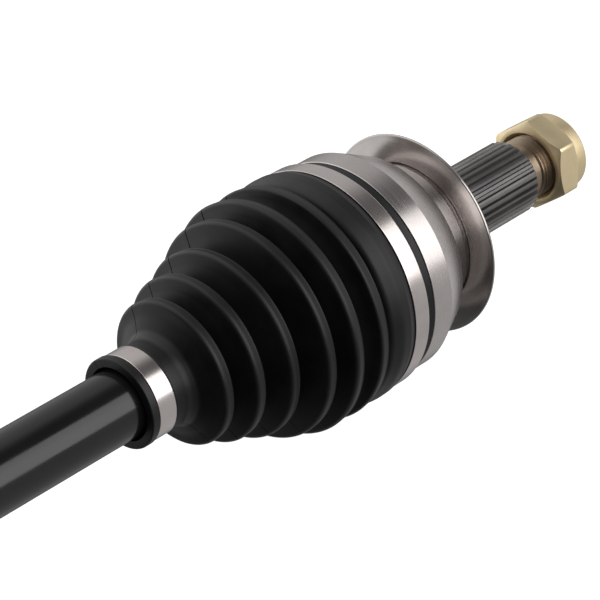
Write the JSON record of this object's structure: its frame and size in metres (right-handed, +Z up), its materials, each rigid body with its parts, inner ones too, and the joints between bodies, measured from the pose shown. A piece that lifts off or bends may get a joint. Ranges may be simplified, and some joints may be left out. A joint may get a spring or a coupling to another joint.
{
  "type": "cv axle",
  "caption": "Front-wheel-drive half shaft: ball joint with splined wheel stub and nut, rubber boots with steel clamps, bar, and tripod joint with splined gearbox stub.",
  "frame": {"origin": "on the axle's axis, in the plane of the shoulder that the wheel bearing seats on", "axes": "+X along the axle towards the wheel, +Z up, +Y completes the right-handed frame"},
  "size_m": [0.6146, 0.0918, 0.0896],
  "materials": {
    "bar_paint": "gloss black paint",
    "bell_steel": "satin, machined",
    "shield_steel": "satin, pressed",
    "clamp_steel": "satin",
    "nut_zinc": "yellow zinc plated",
    "boot_rubber": "matte",
    "bearing_steel": "ground, bright",
    "spring_steel": "dark, oiled"
  },
  "bodies": {
    "shaft": {"axle_shaft": "bar_paint", "outer_inner_race": "bearing_steel", "outer_circlip": "spring_steel", "outer_small_clamp": "clamp_steel", "tripod_spider": "bearing_steel", "spider_circlip": "spring_steel", "roller_retainer_1": "spring_steel", "roller_retainer_2": "spring_steel", "roller_retainer_3": "spring_steel", "inner_small_clamp": "clamp_steel"},
    "ball_top": {"outer_ball_1": "bearing_steel"},
    "cage": {"outer_cage": "bearing_steel", "outer_ball_2": "bearing_steel", "outer_ball_3": "bearing_steel", "outer_ball_5": "bearing_steel", "outer_ball_6": "bearing_steel"},
    "ball_bottom": {"outer_ball_4": "bearing_steel"},
    "bell": {"outer_race": "bell_steel", "dust_shield": "shield_steel", "axle_nut": "nut_zinc", "outer_boot": "boot_rubber", "outer_large_clamp": "clamp_steel"},
    "roller_1": {"tripod_roller_1": "bearing_steel"},
    "roller_2": {"tripod_roller_2": "bearing_steel", "needle_set_2": "bearing_steel"},
    "roller_3": {"tripod_roller_3": "bearing_steel", "needle_set_3": "bearing_steel"},
    "needles_1": {"needle_set_1": "bearing_steel"},
    "inner_boot_body": {"inner_boot": "boot_rubber"},
    "housing": {"inner_housing": "bell_steel", "inner_large_clamp": "clamp_steel", "gearbox_circlip": "spring_steel"}
  },
  "joints": [
    {"name": "outer_pitch", "type": "hinge", "parent": "shaft", "child": "ball_top", "pos_m": [-0.036, 0, 0], "axis": [0, 1, 0], "range_deg": [-15, 15], "deforming": ["outer_boot"]},
    {"name": "outer_yaw", "type": "hinge", "parent": "ball_top", "child": "cage", "pos_m": [-0.036, 0, 0], "axis": [0, 0, 1], "range_deg": [-15, 15]},
    {"name": "outer_yaw_bell", "type": "hinge", "parent": "cage", "child": "ball_bottom", "pos_m": [-0.036, 0, 0], "axis": [0, 0, 1], "range_deg": [-15, 15]},
    {"name": "outer_pitch_bell", "type": "hinge", "parent": "ball_bottom", "child": "bell", "pos_m": [-0.036, 0, 0], "axis": [0, 1, 0], "range_deg": [-15, 15]},
    {"name": "inner_yaw", "type": "hinge", "parent": "shaft", "child": "needles_1", "pos_m": [-0.416, 0, 0], "axis": [0, 0, 1], "range_deg": [-12, 12], "deforming": ["inner_boot"]},
    {"name": "inner_pitch", "type": "hinge", "parent": "needles_1", "child": "inner_boot_body", "pos_m": [-0.416, 0, 0], "axis": [0, 1, 0], "range_deg": [-12, 12]},
    {"name": "plunge", "type": "slide", "parent": "inner_boot_body", "child": "housing", "axis": [1, 0, 0], "range_m": [-0.015, 0.015]},
    {"name": "roller_spin_1", "type": "hinge", "parent": "shaft", "child": "roller_1", "pos_m": [-0.416, 0, 0], "axis": [0, 0, 1], "range_deg": [-60, 60]},
    {"name": "roller_spin_2", "type": "hinge", "parent": "shaft", "child": "roller_2", "pos_m": [-0.416, 0, 0], "axis": [0, -0.866, -0.5], "range_deg": [-60, 60]},
    {"name": "roller_spin_3", "type": "hinge", "parent": "shaft", "child": "roller_3", "pos_m": [-0.416, 0, 0], "axis": [0, 0.866, -0.5], "range_deg": [-60, 60]}
  ],
  "couplings": [
    {"joint": "outer_yaw_bell", "follows": "outer_yaw", "ratio": 1},
    {"joint": "outer_pitch_bell", "follows": "outer_pitch", "ratio": 1},
    {"joint": "roller_spin_1", "follows": "plunge", "rad_per_m": 64.5},
    {"joint": "roller_spin_2", "follows": "plunge", "rad_per_m": 64.5},
    {"joint": "roller_spin_3", "follows": "plunge", "rad_per_m": 64.5}
  ]
}
